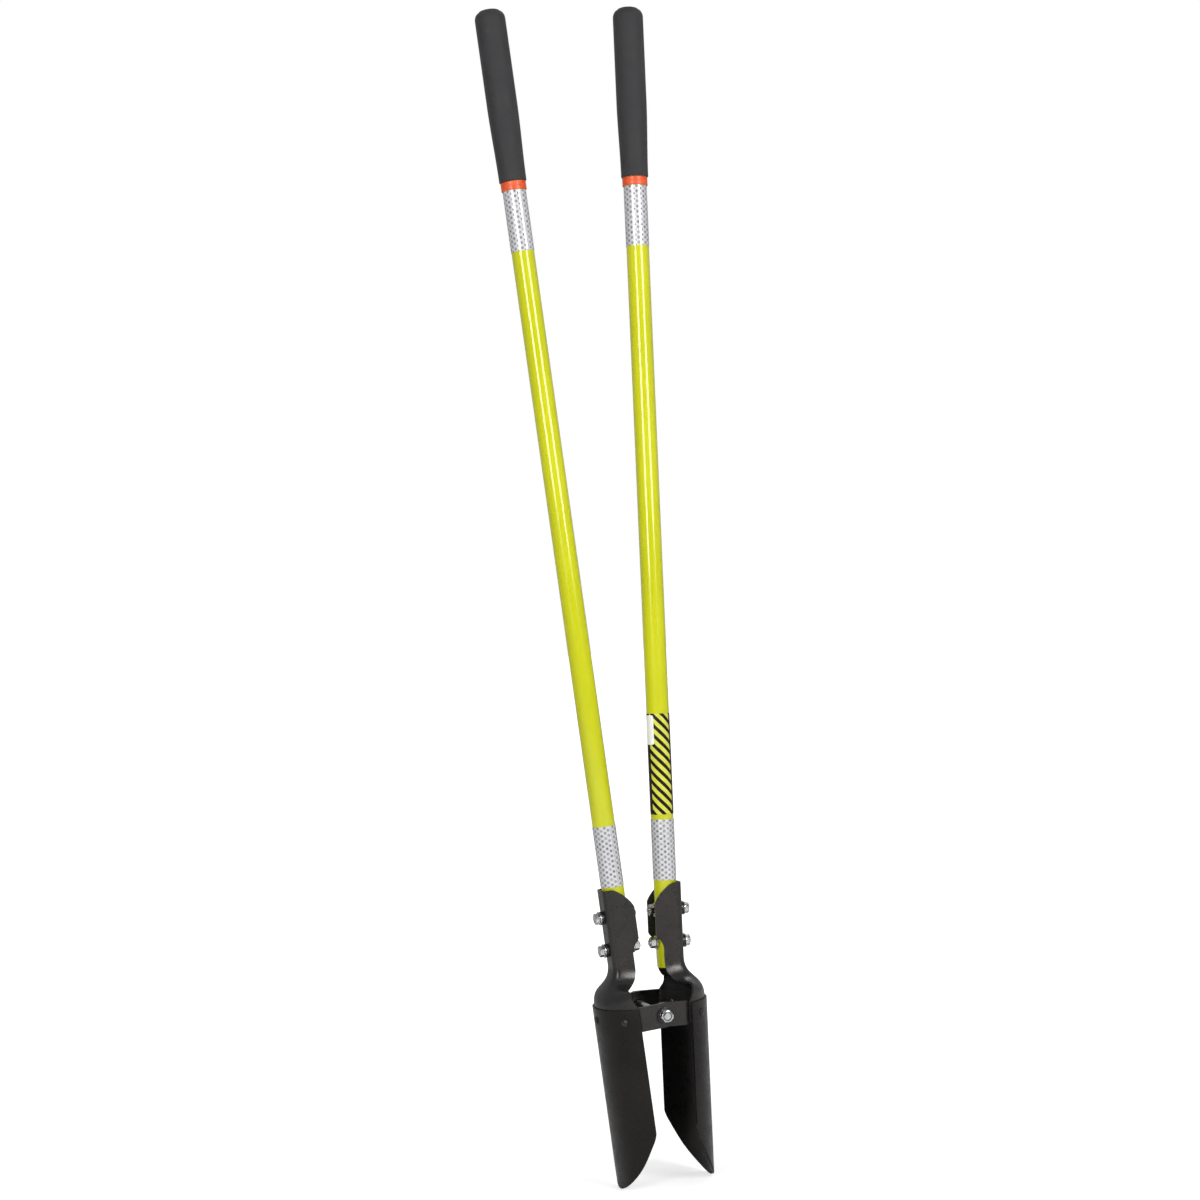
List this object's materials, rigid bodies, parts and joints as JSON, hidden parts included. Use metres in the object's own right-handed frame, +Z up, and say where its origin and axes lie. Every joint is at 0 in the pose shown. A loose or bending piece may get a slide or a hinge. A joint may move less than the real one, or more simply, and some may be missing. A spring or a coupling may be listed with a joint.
{
  "type": "post hole digger",
  "caption": "Clamshell post hole digger: long fibreglass handles with foam grips, bolted into steel sockets with curved blades that close on a pivot bolt.",
  "frame": {"origin": "on the ground level of the blade tips, midway between the halves and midway along the pivot bolt", "axes": "+Z up along the tool, from the blade tips to the grips; +X towards the right handle, the way the handles swing apart; +Y along the pivot bolt, from its nut at the front to its head at the back"},
  "size_m": [0.2194, 0.1404, 1.4797],
  "materials": {
    "handle_lacquer": "glossy safety-yellow gel coat over pultruded fibreglass",
    "hardwood": "bare turned hardwood",
    "grip_foam": "matt black closed-cell foam rubber, fine-pored",
    "ring_rubber": "satin orange moulded rubber",
    "reflective_tape": "silver retroreflective film with a fine cell pattern of dark dots",
    "label_film": "satin film printed with plain black and yellow diagonal stripes",
    "sticker_film": "plain white film",
    "black_enamel": "semi-gloss black enamel over pressed steel, worn thin at the edges",
    "zinc_plate": "bright zinc plate"
  },
  "bodies": {
    "left_half": {"left_handle": "handle_lacquer", "left_handle_plug": "hardwood", "left_grip": "grip_foam", "left_collar_ring": "ring_rubber", "left_upper_reflective_band": "reflective_tape", "left_lower_reflective_band": "reflective_tape", "left_socket": "black_enamel", "left_blade": "black_enamel", "left_yoke": "black_enamel", "left_front_rivet": "black_enamel", "left_middle_rivet": "black_enamel", "left_back_rivet": "black_enamel", "left_upper_handle_bolt": "zinc_plate", "left_upper_head_washer": "zinc_plate", "left_upper_nut_washer": "zinc_plate", "left_upper_handle_nut": "zinc_plate", "left_upper_head_spacer": "black_enamel", "left_lower_handle_bolt": "zinc_plate", "left_lower_head_washer": "zinc_plate", "left_lower_nut_washer": "zinc_plate", "left_lower_handle_nut": "zinc_plate", "left_lower_head_spacer": "black_enamel", "pivot_bolt": "zinc_plate", "pivot_nut": "zinc_plate", "front_pivot_washer": "black_enamel", "back_pivot_washer": "zinc_plate"},
    "right_half": {"right_handle": "handle_lacquer", "right_handle_plug": "hardwood", "right_grip": "grip_foam", "right_collar_ring": "ring_rubber", "right_upper_reflective_band": "reflective_tape", "right_lower_reflective_band": "reflective_tape", "right_socket": "black_enamel", "right_blade": "black_enamel", "right_yoke": "black_enamel", "right_front_rivet": "black_enamel", "right_middle_rivet": "black_enamel", "right_back_rivet": "black_enamel", "right_upper_handle_bolt": "zinc_plate", "right_upper_head_washer": "zinc_plate", "right_upper_nut_washer": "zinc_plate", "right_upper_handle_nut": "zinc_plate", "right_upper_head_spacer": "black_enamel", "right_lower_handle_bolt": "zinc_plate", "right_lower_head_washer": "zinc_plate", "right_lower_nut_washer": "zinc_plate", "right_lower_handle_nut": "zinc_plate", "right_lower_head_spacer": "black_enamel", "hazard_label": "label_film", "label_sticker": "sticker_film"}
  },
  "joints": [
    {"name": "blade_pivot", "type": "hinge", "parent": "left_half", "child": "right_half", "pos_m": [0, 0, 0.21687], "axis": [0, 1, 0], "range_deg": [-6.4, 19]}
  ]
}
